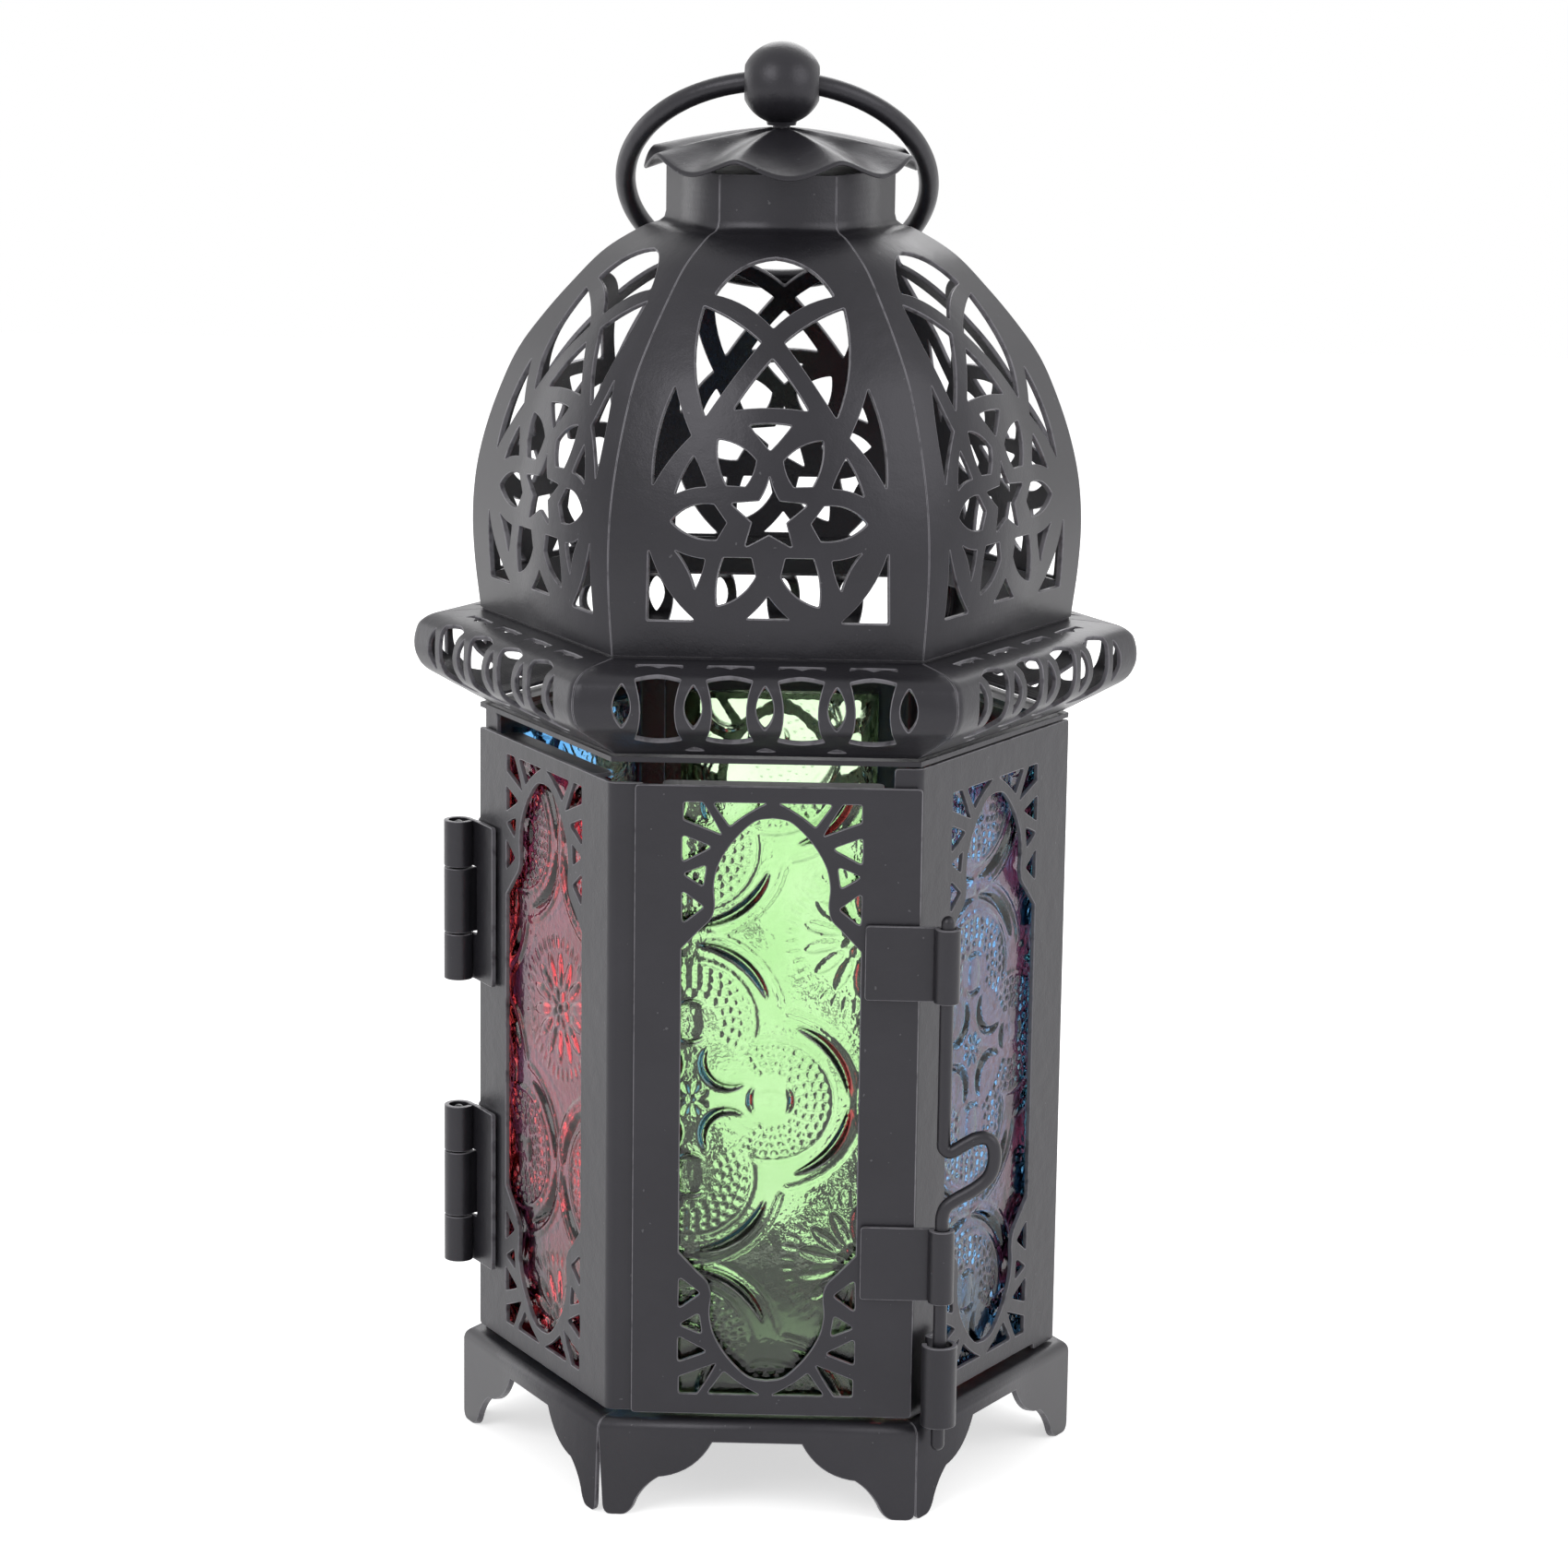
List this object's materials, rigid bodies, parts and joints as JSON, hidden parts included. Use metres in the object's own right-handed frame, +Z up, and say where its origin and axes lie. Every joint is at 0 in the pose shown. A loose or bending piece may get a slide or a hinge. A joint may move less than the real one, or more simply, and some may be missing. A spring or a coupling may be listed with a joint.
{
  "type": "candle lantern",
  "caption": "Hexagonal Moroccan-style candle lantern of pierced black sheet metal with pressed coloured glass, a latched two-sided door, a pierced dome and a carrying ring.",
  "frame": {"origin": "on the vertical axis of the lantern, at the level of the bottoms of the feet", "axes": "+Z up through the finial; -Y out of the front side, which carries the latched edge of the door; +X to the right of someone facing the front"},
  "size_m": [0.1192, 0.1034, 0.2325],
  "materials": {
    "black_steel": "satin charcoal powder coat",
    "green_glass": "pressed relief pattern, light green",
    "blue_glass": "pressed relief pattern, cobalt blue",
    "red_glass": "pressed relief pattern, wine red"
  },
  "bodies": {
    "lantern_body": {"base_pan": "black_steel", "candle_cup": "black_steel", "panel_right_front": "black_steel", "panel_right_back": "black_steel", "panel_back": "black_steel", "panel_left_back": "black_steel", "pane_right_front": "blue_glass", "pane_right_back": "red_glass", "pane_back": "green_glass", "pane_left_back": "blue_glass", "hinge_upper_body_leaf": "black_steel", "hinge_upper_pin": "black_steel", "hinge_lower_body_leaf": "black_steel", "hinge_lower_pin": "black_steel", "latch_keeper": "black_steel", "body_top_ring": "black_steel", "dome_foot_ring": "black_steel", "gallery_front": "black_steel", "gallery_right_front": "black_steel", "gallery_right_back": "black_steel", "gallery_back": "black_steel", "gallery_left_back": "black_steel", "gallery_left_front": "black_steel", "dome_petal_front": "black_steel", "dome_petal_right_front": "black_steel", "dome_petal_right_back": "black_steel", "dome_petal_back": "black_steel", "dome_petal_left_back": "black_steel", "dome_petal_left_front": "black_steel", "neck_collar": "black_steel", "cap": "black_steel", "finial_ball": "black_steel", "finial_screw": "black_steel"},
    "door": {"panel_front": "black_steel", "panel_left_front": "black_steel", "pane_front": "green_glass", "pane_left_front": "red_glass", "hinge_upper_door_leaf": "black_steel", "hinge_lower_door_leaf": "black_steel", "latch_upper_strap": "black_steel", "latch_lower_strap": "black_steel"},
    "bolt": {"latch_bolt": "black_steel"},
    "ring": {"carrying_ring": "black_steel"}
  },
  "joints": [
    {"name": "door_swing", "type": "hinge", "parent": "lantern_body", "child": "door", "pos_m": [-0.052, 0, 0.06625], "axis": [0, 0, -1], "range_deg": [0, 120]},
    {"name": "bolt_lift", "type": "slide", "parent": "door", "child": "bolt", "axis": [0, 0, 1], "range_m": [0, 0.02]},
    {"name": "ring_swing", "type": "hinge", "parent": "lantern_body", "child": "ring", "pos_m": [0, 0, 0.22589], "axis": [1, 0, 0], "range_deg": [0, 271]}
  ]
}
